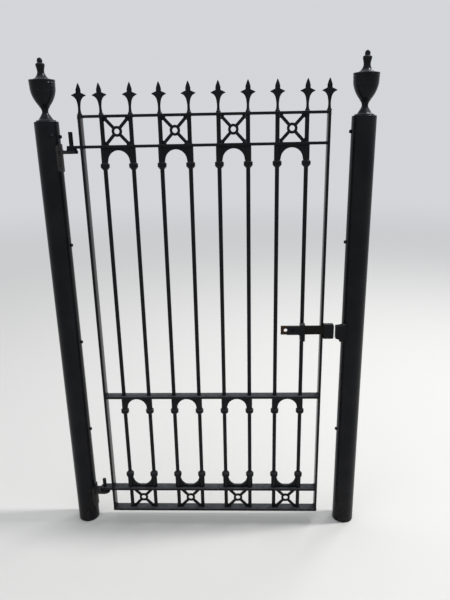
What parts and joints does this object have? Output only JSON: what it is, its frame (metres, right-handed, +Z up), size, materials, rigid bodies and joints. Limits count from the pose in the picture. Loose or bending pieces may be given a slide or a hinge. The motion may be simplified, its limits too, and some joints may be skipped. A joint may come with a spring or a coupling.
{
  "type": "metal side gate with two posts",
  "caption": "Ornamental round-bar side gate with spearheads, ring and arch panels, a slide bolt, and two round posts with urn finials.",
  "frame": {"origin": "centre of the hinge post's foot, at ground level", "axes": "+X across the gateway towards the latch post, +Y away from the side the latch is on, +Z up"},
  "size_m": [1.2509, 0.093, 1.942],
  "materials": {
    "black_paint": "gloss black paint on steel, with faint brush marks and dust on upward faces",
    "cast_black": "black painted casting, slightly uneven skin",
    "worn_steel": "paint rubbed through to dark brown steel where metal slides on metal"
  },
  "bodies": {
    "posts": {"hinge_post": "black_paint", "latch_post": "black_paint", "hinge_post_urn": "cast_black", "latch_post_urn": "cast_black", "top_gudgeon": "black_paint", "bottom_gudgeon": "black_paint", "top_hinge_pin": "worn_steel", "bottom_hinge_pin": "worn_steel", "latch_keep": "black_paint"},
    "leaf": {"hinge_stile": "black_paint", "latch_stile": "black_paint", "bottom_rail": "black_paint", "lower_rail": "black_paint", "middle_rail": "black_paint", "frieze_rail": "black_paint", "top_rail": "black_paint", "bar_1": "black_paint", "bar_2": "black_paint", "bar_3": "black_paint", "bar_4": "black_paint", "bar_5": "black_paint", "bar_6": "black_paint", "bar_7": "black_paint", "bar_8": "black_paint", "spearhead_1": "cast_black", "spearhead_2": "cast_black", "spearhead_3": "cast_black", "spearhead_4": "cast_black", "spearhead_5": "cast_black", "spearhead_6": "cast_black", "spearhead_7": "cast_black", "spearhead_8": "cast_black", "spearhead_9": "cast_black", "spearhead_10": "cast_black", "frieze_rings": "cast_black", "base_rings": "cast_black", "frieze_arches": "cast_black", "middle_arches": "cast_black", "lower_arches": "cast_black", "top_hinge_eye": "black_paint", "bottom_hinge_eye": "black_paint", "bolt_guide": "black_paint", "bolt_housing": "black_paint"},
    "bolt": {"slide_bolt": "worn_steel"}
  },
  "joints": [
    {"name": "leaf_swing", "type": "hinge", "parent": "posts", "child": "leaf", "pos_m": [0.08445, 0, 0.887], "axis": [0, 0, 1], "range_deg": [-90, 90]},
    {"name": "bolt_slide", "type": "slide", "parent": "leaf", "child": "bolt", "axis": [1, 0, 0], "range_m": [0, 0.028]}
  ]
}
